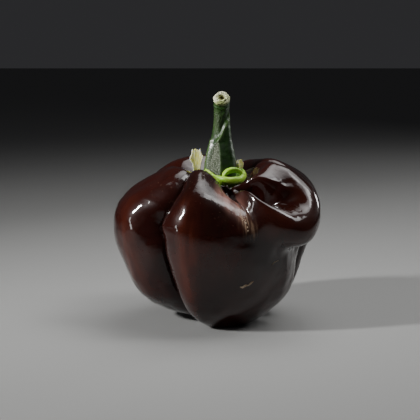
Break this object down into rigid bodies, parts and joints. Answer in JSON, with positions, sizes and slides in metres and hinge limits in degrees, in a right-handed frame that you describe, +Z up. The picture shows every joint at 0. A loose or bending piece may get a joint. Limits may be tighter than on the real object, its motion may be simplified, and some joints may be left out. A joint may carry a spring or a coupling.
{
  "type": "chilli pepper",
  "caption": "Squat lobed chilli pepper with glossy dark brown skin, a ribbed green stalk with a cut end and a torn calyx.",
  "frame": {"origin": "on the ground under the middle of the chilli's outline seen from above", "axes": "+Z up along the stalk, +X to the chilli's right side where the curled ear of the shoulder is, -Y to its front where the broad lobe is"},
  "size_m": [0.045, 0.0424, 0.0496],
  "materials": {
    "skin": "taut waxy fruit skin, glossy, very dark chocolate brown",
    "stalk": "ribbed green stalk, half gloss, pale corky patch and pale cut end",
    "calyx": "fleshy lime green calyx, satin",
    "torn_sepal": "thin pale yellow torn sepal, matt"
  },
  "bodies": {
    "root": {"pod": "skin", "stem": "stalk", "calyx": "calyx", "calyx_curl": "calyx", "calyx_flap_left": "torn_sepal", "calyx_flap_right": "torn_sepal"}
  },
  "joints": []
}
